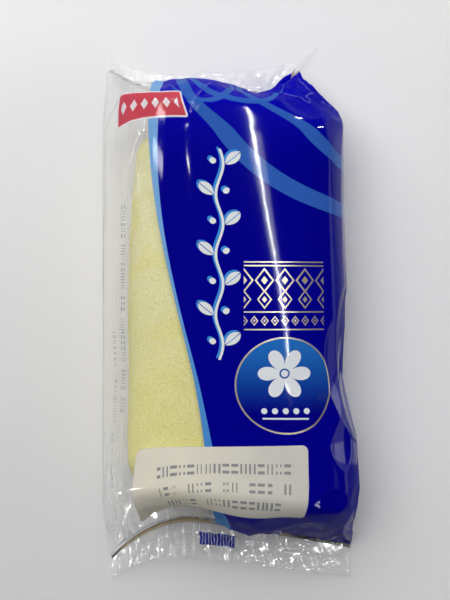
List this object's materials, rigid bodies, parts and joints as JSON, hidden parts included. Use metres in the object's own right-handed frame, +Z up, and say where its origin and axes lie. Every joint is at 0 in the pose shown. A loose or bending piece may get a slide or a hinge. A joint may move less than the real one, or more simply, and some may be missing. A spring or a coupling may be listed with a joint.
{
  "type": "packed swiss roll cake",
  "caption": "Swiss roll cake lying in its sealed flow-wrap film pack, with flat crimped end seals and a clear side window.",
  "frame": {"origin": "under the middle of the pack, at the level it rests on", "axes": "+X towards the printed side, +Y along the roll towards the end with the folded-in corner, +Z up"},
  "size_m": [0.119, 0.2572, 0.0547],
  "materials": {
    "printed_film": "glossy printed film",
    "clear_film": "clear glossy film",
    "sponge": "fine open crumb, matt"
  },
  "bodies": {
    "root": {"film_pack": "printed_film"}
  },
  "joints": []
}
